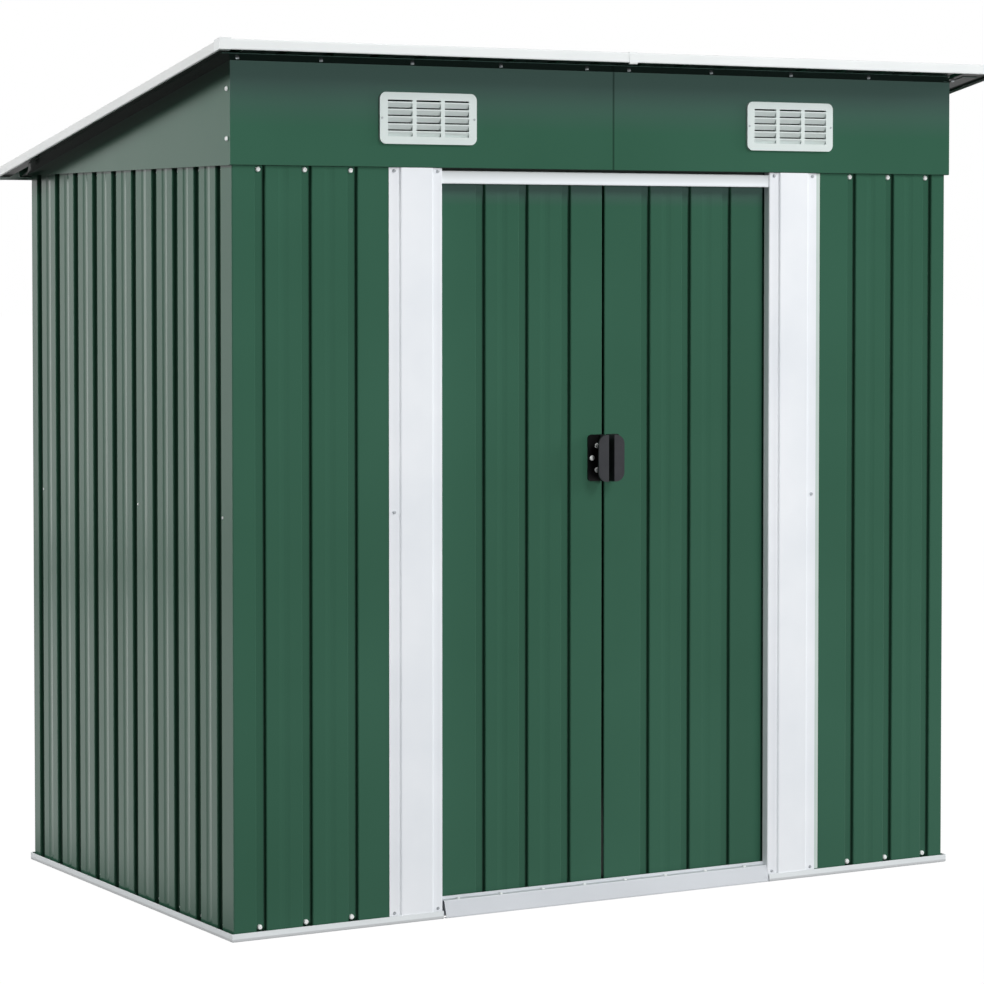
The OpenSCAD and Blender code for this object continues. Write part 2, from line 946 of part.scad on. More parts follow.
// Handle of the left door: a foot on the door, a web along the seam and a rounded grip
// Upright plate of a handle, w wide and round at its outer corners, whose back lies at the depth y
module handle_plate(w, r, y) {
    translate([0, y, 0])
        rotate([90, 0, 0])
            linear_extrude(handle_t)
                intersection() {
                    rounded_plate(2 * w, handle_h, r);
                    translate([-w, -handle_h / 2]) square([w, handle_h]);
                }
}

module handle() {
    color("dimgray")
        translate([-handle_offset, front_y + door_face, handle_z]) {
            handle_plate(handle_foot, foot_r, 0);
            handle_plate(handle_grip, handle_r, handle_t - handle_reach);
            translate([-handle_t, -handle_reach, -handle_h / 2]) cube([handle_t, handle_reach, handle_h]);
        }
}

module door_panel_left() {
    door_panel(door_first(left_door_groove));
}

module door_runners_left() {
    door_runners();
}

module door_handle_left() {
    handle();
}

module door_panel_right() {
    mirror([1, 0, 0]) door_panel(door_first(right_door_groove));
}

module door_runners_right() {
    mirror([1, 0, 0]) door_runners();
}

module door_handle_right() {
    mirror([1, 0, 0]) handle();
}

base_rail_front_left();
base_rail_front_right();
base_rail_left();
base_rail_right();
base_rail_rear();
door_threshold();
door_bottom_track();
door_top_track();
door_header();
door_jamb_left();
door_jamb_right();
front_wall_left();
front_wall_right();
left_wall_front();
left_wall_rear();
right_wall_front();
right_wall_rear();
rear_wall_left();
rear_wall_middle();
rear_wall_right();
top_rail_left();
top_rail_right();
top_rail_rear();
fascia_left();
fascia_right();
gable_left();
gable_right();
vent_left();
vent_right();
roof_beam();
roof_panel_left();
roof_panel_middle();
roof_panel_right();
roof_trim_front_left();
roof_trim_front_right();
roof_trim_left();
roof_trim_right();
roof_trim_rear();
roof_corner_caps();
door_panel_left();
door_runners_left();
door_handle_left();
door_panel_right();
door_runners_right();
door_handle_right();
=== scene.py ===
"""Looks of a garden shed of folded steel sheet: paint, plating, plastic, fasteners, light and camera.

Metres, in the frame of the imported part: +Z up, front towards -Y.
"""

import math

import bmesh
import bpy
from mathutils import Matrix, Vector

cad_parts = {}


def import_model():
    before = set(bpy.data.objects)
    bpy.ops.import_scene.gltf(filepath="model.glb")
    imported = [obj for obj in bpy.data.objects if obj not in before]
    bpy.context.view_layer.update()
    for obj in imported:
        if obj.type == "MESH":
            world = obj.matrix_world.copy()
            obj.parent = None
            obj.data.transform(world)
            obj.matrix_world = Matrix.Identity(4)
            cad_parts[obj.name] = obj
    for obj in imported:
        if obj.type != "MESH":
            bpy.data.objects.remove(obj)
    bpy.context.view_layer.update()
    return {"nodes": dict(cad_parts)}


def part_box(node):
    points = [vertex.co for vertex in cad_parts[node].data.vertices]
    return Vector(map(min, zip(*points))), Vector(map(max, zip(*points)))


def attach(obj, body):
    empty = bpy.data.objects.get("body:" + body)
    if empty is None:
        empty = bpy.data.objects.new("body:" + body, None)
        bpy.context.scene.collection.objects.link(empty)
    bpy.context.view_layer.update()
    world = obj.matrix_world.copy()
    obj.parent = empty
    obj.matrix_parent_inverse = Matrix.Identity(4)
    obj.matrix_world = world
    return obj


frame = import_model()
nodes = frame["nodes"]

# Planes of the shed, read from the frame
FRONT_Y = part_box("base_rail_front_left")[0].y
REAR_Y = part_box("base_rail_rear")[1].y
LEFT_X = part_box("base_rail_left")[0].x
FRONT_WALL_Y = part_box("front_wall_left")[0].y
LEFT_WALL_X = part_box("left_wall_front")[0].x
REAR_WALL_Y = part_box("rear_wall_middle")[1].y
DOOR_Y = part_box("door_panel_left")[0].y
VENT_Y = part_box("vent_left")[0].y
EAVES_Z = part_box("gable_left")[0].z
LEDGE_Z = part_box("door_threshold")[1].z
HEADER_LOW_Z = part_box("door_header")[0].z
HEADER_TOP_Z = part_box("door_header")[1].z
DOORWAY_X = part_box("door_header")[1].x
JAMB_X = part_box("door_jamb_right")[1].x
FASCIA_JOINT_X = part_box("fascia_left")[1].x
SHED_D = REAR_Y - FRONT_Y

# Folds of the base rails and jambs
RAIL_TOP_Z = 0.017
# Height below which painted shade stands in for the rolled lower edge of the base rails, and the width
# of its blend
RAIL_SHADE_Z = 0.0062
RAIL_BLEND = 0.0012
JAMB_STEP = 0.0065
JAMB_FLANGE_Y = FRONT_Y + JAMB_STEP

# Grooves of the wall sheets, and the creases and joints of the sheets
SHEET_T = 0.001
GROOVE_PITCH = 0.105
GROOVE_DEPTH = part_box("left_wall_front")[1].x - LEFT_WALL_X - SHEET_T
GROOVE_EDGE = 0.0025
GROOVE_LIP = 0.0115
FIRST_GROOVE = 0.073
FRONT_GROOVE = 0.070
RIGHT_GROOVE_X = 0.635
SIDE_GROOVES = 10
FRONT_GROOVES = 3
REAR_GROOVES = 17
SIDE_LAPS = (0, 4, 9)
LAP_CREASE_Y = FRONT_Y + 0.4405
CREASE_W = 0.025
CREASE_DEPTH = 0.0012
JOINT_W = 0.0034

# Roof: heights of its underside above the eaves at the front and at the rear, and its ribs
FRONT_RISE = 0.211
REAR_RISE = 0.0035
ROOF_SLOPE = math.atan((FRONT_RISE - REAR_RISE) / SHED_D)
RIB_H = 0.014


# Colours

def srgb(red, green, blue):
    """Linear colour of three values from 0 to 255."""
    def linear(value):
        share = value / 255
        return share / 12.92 if share <= 0.04045 else ((share + 0.055) / 1.055) ** 2.4
    return (linear(red), linear(green), linear(blue), 1.0)


PAINT_GREEN = srgb(55, 95, 77)
PAINT_GREEN_DEEP = srgb(50, 89, 71)
# Painted shade laid into the grooves, also used for the line in the fascia's joint
GROOVE_SHADE = srgb(14, 30, 22)
# Painted shade under the eaves and in the gap above the door header
EAVES_SHADE = srgb(13, 24, 19)
# Grey of the painted shade under the eaves and under the door header
SHADE_GREY = srgb(70, 90, 86)
BACK_COAT = srgb(186, 190, 187)
BACK_COAT_DULL = srgb(174, 179, 176)
WHITE_PAINT = srgb(234, 237, 241)
WHITE_PAINT_DULL = srgb(225, 229, 234)
TRIM_WHITE = srgb(231, 234, 234)
TRIM_WHITE_DULL = srgb(223, 227, 227)
# Side trims: a darker copy of the trim white, as painted shade
TRIM_SIDE_SHADED = srgb(221, 223, 222)
TRIM_SIDE_SHADED_DULL = srgb(213, 216, 215)
# Header white, and the grey of its painted shade towards the eaves
HEADER_WHITE = srgb(231, 236, 239)
HEADER_SHADED_GREY = srgb(187, 192, 193)
RAIL_UPPER = srgb(226, 231, 233)
RAIL_UPPER_DULL = srgb(220, 225, 227)
# Painted shade of the base rails' rolled lower edge
RAIL_ROLL_SHADE = srgb(194, 197, 199)
THRESHOLD_PALE = srgb(212, 216, 221)
THRESHOLD_DULL = srgb(204, 208, 213)
# Painted shade on the upward faces of the threshold
LEDGE_SHADE_GREY = srgb(194, 200, 203)
ZINC_LIGHT = srgb(196, 200, 204)
ZINC_DARK = srgb(166, 171, 176)
VENT_WHITE = srgb(212, 221, 219)
VENT_WHITE_DULL = srgb(204, 214, 212)
HANDLE_GREY = srgb(54, 55, 58)
HANDLE_GREY_DULL = srgb(47, 48, 51)
# Black of the handle's foot: its own dark colour and painted shade under the grips
HANDLE_BLACK_AND_SHADE = srgb(4, 4, 5)
STRIP_GREY = srgb(194, 207, 202)
STRIP_GREY_DULL = srgb(186, 199, 194)
SCREW_WHITE = srgb(250, 252, 251)
SCREW_DULL = srgb(240, 244, 243)
SLIDE_GREY = srgb(150, 153, 154)


# Nodes of the materials

NOISE_LOW, NOISE_HIGH = 0.3, 0.7
FINE_H = 0.0004
ROUGHNESS_SPREAD = 0.06


def new_material(name):
    made = bpy.data.materials.new(name)
    made.use_nodes = True
    return made, made.node_tree, made.node_tree.nodes["Principled BSDF"]


def math_node(tree, operation, first, second):
    """Math node whose inputs are sockets or plain numbers."""
    made = tree.nodes.new("ShaderNodeMath")
    made.operation = operation
    for socket, value in zip(made.inputs, (first, second)):
        if isinstance(value, (int, float)):
            socket.default_value = value
        else:
            tree.links.new(value, socket)
    return made.outputs[0]


def product(tree, first, second):
    return math_node(tree, "MULTIPLY", first, second)


def mixed(tree, share, first, second):
    """Colour between two colours, which are sockets or plain values."""
    made = tree.nodes.new("ShaderNodeMix")
    made.data_type = "RGBA"
    for socket, value in ((made.inputs[0], share), (made.inputs[6], first), (made.inputs[7], second)):
        if isinstance(value, (tuple, int, float)):
            socket.default_value = value
        else:
            tree.links.new(value, socket)
    return made.outputs[2]


def noise(tree, scale, detail=3.0, stretch=(1.0, 1.0, 1.0)):
    """Noise fixed to the object, with features of about 1 / scale metres."""
    place = tree.nodes.new("ShaderNodeTexCoord")
    mapping = tree.nodes.new("ShaderNodeMapping")
    mapping.inputs["Scale"].default_value = stretch
    texture = tree.nodes.new("ShaderNodeTexNoise")
    texture.inputs["Scale"].default_value = scale
    texture.inputs["Detail"].default_value = detail
    tree.links.new(place.outputs["Object"], mapping.inputs["Vector"])
    tree.links.new(mapping.outputs["Vector"], texture.inputs["Vector"])
    return texture.outputs["Fac"]


def ramp(tree, value, low, high, start=0.0, end=1.0):
    """Value carried from the range low to high onto start to end, and held there."""
    made = tree.nodes.new("ShaderNodeMapRange")
    tree.links.new(value, made.inputs["Value"])
    made.inputs["From Min"].default_value = low
    made.inputs["From Max"].default_value = high
    made.inputs["To Min"].default_value = start
    made.inputs["To Max"].default_value = end
    return made.outputs["Result"]


def spread(tree, value, start=0.0, end=1.0):
    """Noise carried from its usual range onto start to end."""
    return ramp(tree, value, NOISE_LOW, NOISE_HIGH, start, end)


def cloudy(tree, scale, dull, light):
    """Colour that drifts between two close tones."""
    return mixed(tree, spread(tree, noise(tree, scale)), dull, light)


def bump(tree, shader, layers):
    """Bumps of several heights: each layer is a height socket, a strength and a height in metres."""
    below = None
    for height, strength, distance in layers:
        made = tree.nodes.new("ShaderNodeBump")
        made.inputs["Strength"].default_value = strength
        made.inputs["Distance"].default_value = distance
        tree.links.new(height, made.inputs["Height"])
        if below is not None:
            tree.links.new(below, made.inputs["Normal"])
        below = made.outputs["Normal"]
    tree.links.new(below, shader.inputs["Normal"])


def fine_grain(tree, shader, scale, roughness, peel=0.05):
    """Roughness and bump that follow one fine noise."""
    fine = noise(tree, scale)
    rough = spread(tree, fine, roughness - ROUGHNESS_SPREAD, roughness + ROUGHNESS_SPREAD)
    tree.links.new(rough, shader.inputs["Roughness"])
    bump(tree, shader, [(fine, peel, FINE_H)])


def facing(tree, outward):
    """1 on faces that look outward, 0 on the backs of the sheet."""
    place = tree.nodes.new("ShaderNodeTexCoord")
    dot = tree.nodes.new("ShaderNodeVectorMath")
    dot.operation = "DOT_PRODUCT"
    dot.inputs[1].default_value = outward
    tree.links.new(place.outputs["Normal"], dot.inputs[0])
    return math_node(tree, "GREATER_THAN", dot.outputs["Value"], -0.01)


def along(tree, kind, axis):
    """Coordinate of the object, or of its normal, along one axis."""
    place = tree.nodes.new("ShaderNodeTexCoord")
    parts = tree.nodes.new("ShaderNodeSeparateXYZ")
    tree.links.new(place.outputs[kind], parts.inputs["Vector"])
    return parts.outputs[axis]


def away(tree, kind, axis, middle=0.0):
    """Distance of such a coordinate from a middle value."""
    offset = math_node(tree, "SUBTRACT", along(tree, kind, axis), middle)
    return math_node(tree, "ABSOLUTE", offset, 0.0)


# Materials

# Masks of the painted shade: in the grooves, towards and above the door header, on the handle's black
# foot, on front faces under the eaves and the header, on undersides, on the threshold's upward faces,
# and in the fascia's joint; then roughness and shine of the paint
GROOVE_SHARE = 0.85
FOOT_NOTCH = (RAIL_TOP_Z + 0.005, RAIL_TOP_Z + 0.003)
BESIDE_CORNER = (-LEFT_WALL_X - 0.010, -LEFT_WALL_X - 0.012)
# Heights of the header's painted shade towards the eaves, and of the painted shade in the gap above it
HEADER_SHADE_HEIGHTS = (HEADER_LOW_Z + 0.006, HEADER_TOP_Z)
HEADER_GAP = (HEADER_TOP_Z - 0.0012, HEADER_TOP_Z - 0.0004)
HANDLE_FOOT = (DOOR_Y - 0.0060, DOOR_Y - 0.0045)
FLANK_SLANT = (0.15, 0.4)
FRONT_SLANT = (-0.7, -0.9)
UNDER_SLANT = (-0.6, -0.8)
UPWARD_SLANT = (0.6, 0.9)
JOINT_SHARE = 0.6
PAINT_ROUGHNESS = (0.19, 0.24)
PAINT_SHINE = 0.07
UNDER_SHINE = 0.015


def groove_shade(tree, sunk):
    """Share of painted shade in the grooves of a sheet: on their flanks, and in the notch at their feet.
    """
    axis, low, high = sunk
    depth = ramp(tree, along(tree, "Object", axis), low, high, 0.0, GROOVE_SHARE)
    flank = ramp(tree, away(tree, "Normal", "Y" if axis == "X" else "X"), *FLANK_SLANT)
    foot = ramp(tree, along(tree, "Object", "Z"), *FOOT_NOTCH)
    shade = product(tree, depth, math_node(tree, "MAXIMUM", flank, foot))
    if axis == "Y":
        shade = product(tree, shade, ramp(tree, away(tree, "Object", "X"), *BESIDE_CORNER))
    return shade


def painted_sheet(name, outward, sunk=None, crease=None, shade_band=None, joint=None):
    """Green baked paint on the outer face of a sheet and a pale coat on its back.

    sunk is an axis and the two coordinates between which painted shade darkens the paint into a groove.
    crease is the Y of a shallow pressed line in the sheet.
    The band of painted shade gives two heights, between which grey painted shade grows on the front
    faces, and its share at the top.
    joint is the X of an edge where two sheets meet, with a line of painted shade in the gap between
    them.
    A sheet without grooves gets painted shade on its undersides, with less shine there.
    """
    made, tree, shader = new_material(name)
    paint = cloudy(tree, 1.7, PAINT_GREEN_DEEP, PAINT_GREEN)
    if sunk is not None:
        # Painted shade in the grooves
        paint = mixed(tree, groove_shade(tree, sunk), paint, GROOVE_SHADE)
    if shade_band is not None:
        # Painted grey shade on the front faces, growing towards the top of the band
        low, high, most = shade_band
        band_share = ramp(tree, along(tree, "Object", "Z"), low, high, 0.0, most)
        front = ramp(tree, along(tree, "Normal", "Y"), *FRONT_SLANT)
        paint = mixed(tree, product(tree, band_share, front), paint, SHADE_GREY)
    if joint is not None:
        # Painted shade in the gap where the two sheets of the fascia meet
        line = ramp(tree, away(tree, "Object", "X", joint), JOINT_W / 4, JOINT_W, JOINT_SHARE, 0.0)
        paint = mixed(tree, line, paint, GROOVE_SHADE)
    shader.inputs["Specular IOR Level"].default_value = PAINT_SHINE
    if sunk is None:
        # Painted shade on the undersides, which also shine less
        under = ramp(tree, along(tree, "Normal", "Z"), *UNDER_SLANT)
        paint = mixed(tree, under, paint, EAVES_SHADE)
        shine = ramp(tree, under, 0.0, 1.0, PAINT_SHINE, UNDER_SHINE)
        tree.links.new(shine, shader.inputs["Specular IOR Level"])
    back = cloudy(tree, 9.0, BACK_COAT_DULL, BACK_COAT)
    tree.links.new(mixed(tree, facing(tree, outward), back, paint), shader.inputs["Base Color"])
    tree.links.new(spread(tree, noise(tree, 6.0), *PAINT_ROUGHNESS), shader.inputs["Roughness"])
    waves = noise(tree, 3.2, 1.0, (1.0, 1.0, 0.35))
    peel = noise(tree, 420.0, 2.0)
    layers = [(waves, 0.10, 0.004), (peel, 0.06, FINE_H)]
    if crease is not None:
        pressed = ramp(tree, away(tree, "Object", "Y", crease), 0.0, CREASE_W / 2)
        layers.append((pressed, 1.0, CREASE_DEPTH))
    bump(tree, shader, layers)
    return made


def plain_finish(name, light, dull, roughness, grain, metallic=0.0):
    """Finish of two close tones."""
    made, tree, shader = new_material(name)
    tree.links.new(cloudy(tree, 5.0, dull, light), shader.inputs["Base Color"])
    shader.inputs["Metallic"].default_value = metallic
    fine_grain(tree, shader, grain, roughness)
    return made


def rail_finish(name, light, dull, dark, kind, start, end):
    """Pale steel with painted shade where the Z of the object or of its normal goes from start to end.
    """
    made, tree, shader = new_material(name)
    pale = cloudy(tree, 5.0, dull, light)
    share = ramp(tree, along(tree, kind, "Z"), start, end)
    tree.links.new(mixed(tree, share, pale, dark), shader.inputs["Base Color"])
    shader.inputs["Metallic"].default_value = 0.1
    fine_grain(tree, shader, 260.0, 0.40)
    return made


def header_finish(name):
    """White paint with painted shade that greys it towards the eaves, and painted shade that makes it
    dark in the gap above the header.
    """
    made, tree, shader = new_material(name)
    height = along(tree, "Object", "Z")
    white = mixed(tree, ramp(tree, height, *HEADER_SHADE_HEIGHTS), HEADER_WHITE, HEADER_SHADED_GREY)
    gap = ramp(tree, height, *HEADER_GAP)
    tree.links.new(mixed(tree, gap, white, EAVES_SHADE), shader.inputs["Base Color"])
    fine_grain(tree, shader, 420.0, 0.42)
    return made


def handle_finish(name):
    """Grey plastic whose foot on the door is black; that black is also painted shade under the grips."""
    made, tree, shader = new_material(name)
    foot = ramp(tree, along(tree, "Object", "Y"), *HANDLE_FOOT)
    grey = cloudy(tree, 40.0, HANDLE_GREY_DULL, HANDLE_GREY)
    tree.links.new(mixed(tree, foot, grey, HANDLE_BLACK_AND_SHADE), shader.inputs["Base Color"])
    shader.inputs["Specular IOR Level"].default_value = 0.3
    fine_grain(tree, shader, 1400.0, 0.48, peel=0.2)
    return made


def zinc_finish(name):
    """Plated steel with faint crystals."""
    made, tree, shader = new_material(name)
    cells = tree.nodes.new("ShaderNodeTexVoronoi")
    cells.inputs["Scale"].default_value = 70.0
    place = tree.nodes.new("ShaderNodeTexCoord")
    tree.links.new(place.outputs["Object"], cells.inputs["Vector"])
    tone = tree.nodes.new("ShaderNodeRGBToBW")
    tree.links.new(cells.outputs["Color"], tone.inputs["Color"])
    crystal = tone.outputs["Val"]
    tree.links.new(mixed(tree, crystal, ZINC_DARK, ZINC_LIGHT), shader.inputs["Base Color"])
    tree.links.new(ramp(tree, crystal, 0.0, 1.0, 0.34, 0.48), shader.inputs["Roughness"])
    shader.inputs["Metallic"].default_value = 0.6
    bump(tree, shader, [(noise(tree, 300.0), 0.05, 0.0003)])
    return made


# Outer side of each painted sheet, with a lean that takes in returns at corners and undersides
FRONT_LEFT = (-0.05, -1.0, 0.0)
FRONT_RIGHT = (0.05, -1.0, 0.0)
REAR_LEFT = (-0.05, 1.0, 0.0)
REAR_RIGHT = (0.05, 1.0, 0.0)
# Roof panels take the green on both faces, to darken their undersides along with the painted shade there
BOTH_FACES = (0.0, 0.0, 0.0)
OUTWARD = {
    "front_wall_left": FRONT_LEFT,
    "front_wall_right": FRONT_RIGHT,
    "left_wall_front": (-1.0, 0.0, 0.0),
    "left_wall_rear": (-1.0, 0.0, 0.0),
    "right_wall_front": (1.0, 0.0, 0.0),
    "right_wall_rear": (1.0, 0.0, 0.0),
    "rear_wall_left": REAR_LEFT,
    "rear_wall_middle": (0.0, 1.0, 0.0),
    "rear_wall_right": REAR_RIGHT,
    "fascia_left": (0.0, -1.0, -0.3),
    "fascia_right": (0.0, -1.0, -0.3),
    "gable_left": (-1.0, 0.0, -0.3),
    "gable_right": (1.0, 0.0, -0.3),
    "roof_panel_left": BOTH_FACES,
    "roof_panel_middle": BOTH_FACES,
    "roof_panel_right": BOTH_FACES,
    "door_panel_left": (0.0, -1.0, 0.0),
    "door_panel_right": (0.0, -1.0, 0.0),
}
# Bands of painted grey shade: heights and share under the eaves, and on the doors' tops under the header
EAVES_SHADE_BAND = (EAVES_Z + 0.08, EAVES_Z + 0.17, 0.85)
DOOR_TOP_SHADE_BAND = (HEADER_LOW_Z - 0.045, HEADER_LOW_Z - 0.010, 0.85)

SCREW = plain_finish("screw_white", SCREW_WHITE, SCREW_DULL, 0.35, 900.0)
WHITE = plain_finish("jamb_white", WHITE_PAINT, WHITE_PAINT_DULL, 0.42, 420.0)
HEADER = header_finish("header_white")
TRIM = plain_finish("trim_white", TRIM_WHITE, TRIM_WHITE_DULL, 0.42, 420.0)
# Darker copy of the trim white for the side trims, as painted shade
SIDE_TRIM_SHADED = plain_finish("side_trim_shaded_white", TRIM_SIDE_SHADED, TRIM_SIDE_SHADED_DULL, 0.42, 420.0)
# Base rails with painted shade on their rolled lower edge
BASE_RAIL = rail_finish("base_rail_pale", RAIL_UPPER, RAIL_UPPER_DULL, RAIL_ROLL_SHADE,
                        "Object", RAIL_SHADE_Z + RAIL_BLEND, RAIL_SHADE_Z - RAIL_BLEND)
# Threshold with painted shade on its upward faces
THRESHOLD = rail_finish("rail_pale", THRESHOLD_PALE, THRESHOLD_DULL, LEDGE_SHADE_GREY, "Normal", *UPWARD_SLANT)
ZINC = zinc_finish("frame_zinc")
VENT = plain_finish("vent_plastic", VENT_WHITE, VENT_WHITE_DULL, 0.45, 700.0)
HANDLE = handle_finish("handle_plastic")
JAMB_STRIP = plain_finish("strip_grey", STRIP_GREY, STRIP_GREY_DULL, 0.45, 420.0)
RUNNER = plain_finish("runner_steel", ZINC_LIGHT, SLIDE_GREY, 0.42, 300.0, metallic=0.4)

PLAIN = {
    WHITE: ("door_jamb_left", "door_jamb_right"),
    HEADER: ("door_header", "door_top_track"),
    TRIM: ("roof_trim_front_left", "roof_trim_front_right", "roof_trim_rear", "roof_corner_caps"),
    SIDE_TRIM_SHADED: ("roof_trim_left", "roof_trim_right"),
    BASE_RAIL: ("base_rail_front_left", "base_rail_front_right", "base_rail_left", "base_rail_right",
                "base_rail_rear"),
    THRESHOLD: ("door_threshold", "door_bottom_track"),
    ZINC: ("top_rail_left", "top_rail_right", "top_rail_rear", "roof_beam"),
    VENT: ("vent_left", "vent_right"),
    HANDLE: ("door_handle_left", "door_handle_right"),
    RUNNER: ("door_runners_left", "door_runners_right"),
}


def dress(name, finish):
    slots = nodes[name].data.materials
    slots.clear()
    slots.append(finish)


def groove_depths(name, outward):
    """Axis of a grooved sheet, and the coordinates where its grooves begin and are deepest."""
    axis = "X" if abs(outward[0]) > 0.5 else "Y"
    low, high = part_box(name)
    positive = outward["XY".index(axis)] > 0
    face = getattr(high if positive else low, axis.lower())
    inward = -1 if positive else 1
    return axis, face + inward * GROOVE_EDGE, face + inward * GROOVE_DEPTH


def dress_all():
    for name, outward in OUTWARD.items():
        grooved = "wall" in name or "door" in name
        sunk = groove_depths(name, outward) if grooved else None
        crease = LAP_CREASE_Y if name in ("left_wall_front", "right_wall_front") else None
        # Bands of painted grey shade: on the doors under the header, and on sheets without grooves under
        # the eaves
        shade_band = DOOR_TOP_SHADE_BAND if "door" in name else None if grooved else EAVES_SHADE_BAND
        joint = FASCIA_JOINT_X if "fascia" in name else None
        dress(name, painted_sheet(name + "_paint", outward, sunk, crease, shade_band, joint))
    for finish, names in PLAIN.items():
        for name in names:
            dress(name, finish)


dress_all()


# Shapes of the fasteners

SCREW_SIDES = 16
NUT_SIDES = 6
ARMS = 4
WASHER_T = 0.0009
FORWARD = (0, -1, 0)
BACKWARD = (0, 1, 0)
UPWARD = (0, 0, 1)


def seated(place, outward):
    """Matrix that stands a fastener on a place, with its axis outward."""
    return Matrix.Translation(place) @ Vector(outward).to_track_quat("Z", "Y").to_matrix().to_4x4()


def ring(mesh, turn, sides, radius, height, arm=None):
    """Ring of points about the axis. With arm, four of the points lie at that radius instead."""
    made = []
    for i in range(sides):
        reach = arm if arm is not None and i % (sides // ARMS) == 0 else radius
        angle = 2 * math.pi * i / sides
        place = Vector((reach * math.cos(angle), reach * math.sin(angle), height))
        made.append(mesh.verts.new(turn @ place))
    return made


def skin(mesh, rings):
    """Faces between rings of points, closed at both ends."""
    for lower, upper in zip(rings, rings[1:]):
        for i in range(len(lower)):
            j = (i + 1) % len(lower)
            mesh.faces.new((lower[i], lower[j], upper[j], upper[i]))
    mesh.faces.new(rings[-1])
    mesh.faces.new(list(reversed(rings[0])))


def screw(mesh, place, outward, radius=0.0052, height=0.0040, washer=0.0):
    """Domed screw head with a cross recess, and a washer under it where one has a width."""
    turn = seated(place, outward)
    seat = 0.0
    rings = []
    if washer > 0.0:
        seat = WASHER_T
        rings.append(ring(mesh, turn, SCREW_SIDES, radius + washer, 0.0))
        rings.append(ring(mesh, turn, SCREW_SIDES, radius + washer, seat * 0.7))
        rings.append(ring(mesh, turn, SCREW_SIDES, radius + washer * 0.8, seat))
    for across, rise in ((1.0, 0.0), (0.98, 0.40), (0.90, 0.70), (0.74, 0.88), (0.50, 0.98)):
        rings.append(ring(mesh, turn, SCREW_SIDES, radius * across, seat + height * rise))
    for across, arm, rise in ((0.12, 0.32, 1.0), (0.08, 0.26, 0.75)):
        rings.append(ring(mesh, turn, SCREW_SIDES, radius * across, seat + height * rise, radius * arm))
    skin(mesh, rings)


def nut(mesh, place, outward, across=0.0040, height=0.0032):
    """Hexagonal nut on the end of a bolt."""
    turn = seated(place, outward)
    levels = ((across, 0.0), (across, height * 0.8), (across * 0.85, height))
    skin(mesh, [ring(mesh, turn, NUT_SIDES, radius, level) for radius, level in levels])


def piece(name, mesh, finish, body):
    """Object made of a mesh, on a body and with the finish of a slot."""
    data = bpy.data.meshes.new(name)
    mesh.normal_update()
    mesh.to_mesh(data)
    mesh.free()
    for face in data.polygons:
        face.use_smooth = False
    made = bpy.data.objects.new(name, data)
    bpy.context.scene.collection.objects.link(made)
    data.materials.append(finish)
    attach(made, body)
    return made


# Places of the fasteners

TOP_ROW_Z = EAVES_Z - 0.007
REAR_TOP_ROW_Z = TOP_ROW_Z - 0.016
BOTTOM_ROW_Z = RAIL_TOP_Z + 0.006
JAMB_FOOT_Z = RAIL_TOP_Z + 0.0055
MID_ROW_Z = 0.855
IN_GROOVE = -0.0015
BESIDE_LIP = 0.0065
JAMB_INSET = 0.0115
STRIP_W = 0.0095
STRIP_T = 0.0008
STRIP_LOW_Z = RAIL_TOP_Z + 0.0004
STRIP_TOP_Z = EAVES_Z - 0.0005
THRESHOLD_FIRST_X = -0.367
THRESHOLD_PITCH = 0.1035
THRESHOLD_COUNT = 8
THRESHOLD_Y = FRONT_Y + 0.0185
GABLE_ROW_Y = FRONT_Y + 0.014
GABLE_ROW_Z = (1.619, 1.719)
VENT_INSET = 0.0055
HANDLE_FOOT_Y = DOOR_Y - 0.004
HANDLE_PLACES = ((0.018, 0.977), (0.0305, 0.951), (0.018, 0.925))
CORNER_NUT_X = LEFT_X + 0.007
RIB_X = (-0.916, -0.706, -0.496, -0.286, -0.076, 0.029, 0.239, 0.449, 0.659, 0.869)
FLANGE_Y = FRONT_Y - 0.020
BEAM_Y = FRONT_Y + SHED_D / 2 + 0.012
REAR_BOLT_Y = REAR_Y - 0.030
FLANGE_T = 0.0014


def front_wall_screws():
    mesh = bmesh.new()
    y = FRONT_WALL_Y + GROOVE_DEPTH
    for start in (LEFT_X + FRONT_GROOVE, RIGHT_GROOVE_X):
        for i in range(FRONT_GROOVES):
            x = start + i * GROOVE_PITCH + IN_GROOVE
            for z in (TOP_ROW_Z, BOTTOM_ROW_Z):
                screw(mesh, Vector((x, y, z)), FORWARD, radius=0.0056, height=0.0055)
    piece("front_wall_screws", mesh, SCREW, "shed")


def side_wall_screws(name, side):
    """Screws of one side wall: in the grooves at its top and foot, and at mid height on its laps."""
    mesh = bmesh.new()
    wall_x = -LEFT_WALL_X * side
    outward = (side, 0, 0)
    for i in range(SIDE_GROOVES):
        y = FRONT_Y + FIRST_GROOVE + i * GROOVE_PITCH
        for z in (TOP_ROW_Z, BOTTOM_ROW_Z):
            screw(mesh, Vector((wall_x - side * GROOVE_DEPTH, y, z)), outward, height=0.0026)
    for i in SIDE_LAPS:
        y = FRONT_Y + FIRST_GROOVE + i * GROOVE_PITCH - GROOVE_LIP - BESIDE_LIP
        screw(mesh, Vector((wall_x, y, MID_ROW_Z)), outward, radius=0.0027, height=0.0012)
    piece(name, mesh, SCREW, "shed")


def rear_wall_screws():
    mesh = bmesh.new()
    y = REAR_WALL_Y - GROOVE_DEPTH
    for i in range(REAR_GROOVES):
        x = LEFT_X + FIRST_GROOVE + i * GROOVE_PITCH
        for z in (BOTTOM_ROW_Z, REAR_TOP_ROW_Z):
            screw(mesh, Vector((x, y, z)), BACKWARD, height=0.0026)
    piece("rear_wall_screws", mesh, SCREW, "shed")


